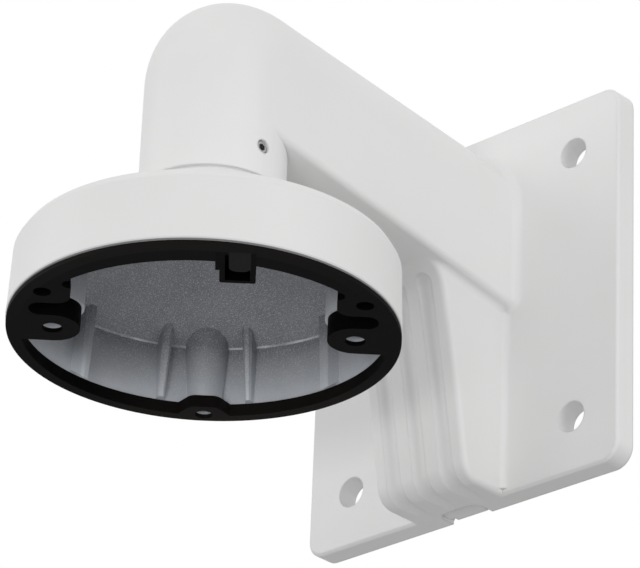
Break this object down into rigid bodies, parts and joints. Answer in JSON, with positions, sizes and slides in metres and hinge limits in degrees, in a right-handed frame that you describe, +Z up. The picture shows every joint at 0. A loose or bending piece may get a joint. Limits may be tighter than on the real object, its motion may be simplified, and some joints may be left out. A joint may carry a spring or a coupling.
{
  "type": "camera wall bracket",
  "caption": "Cast wall bracket for a dome camera: square wall plate, hollow arm on a fluted gusset, and a drop cap with a black mounting ring.",
  "frame": {"origin": "centre of the four wall bolts, on the plane of the plate's back face that lies on the wall", "axes": "+Y into the wall, -Y out along the arm, +Z up, +X to the right as seen by someone facing the wall"},
  "size_m": [0.12, 0.1692, 0.1232],
  "materials": {
    "white_coat": "white powder coat with a fine orange-peel skin",
    "cap_casting": "white powder coat outside, bare grey die casting inside and at the rim",
    "black_plastic": "satin moulded black",
    "screw_steel": "plain zinc-plated steel"
  },
  "bodies": {
    "root": {"wall_arm": "white_coat", "drop_cap": "cap_casting", "mounting_ring": "black_plastic", "lock_screw": "screw_steel"}
  },
  "joints": []
}
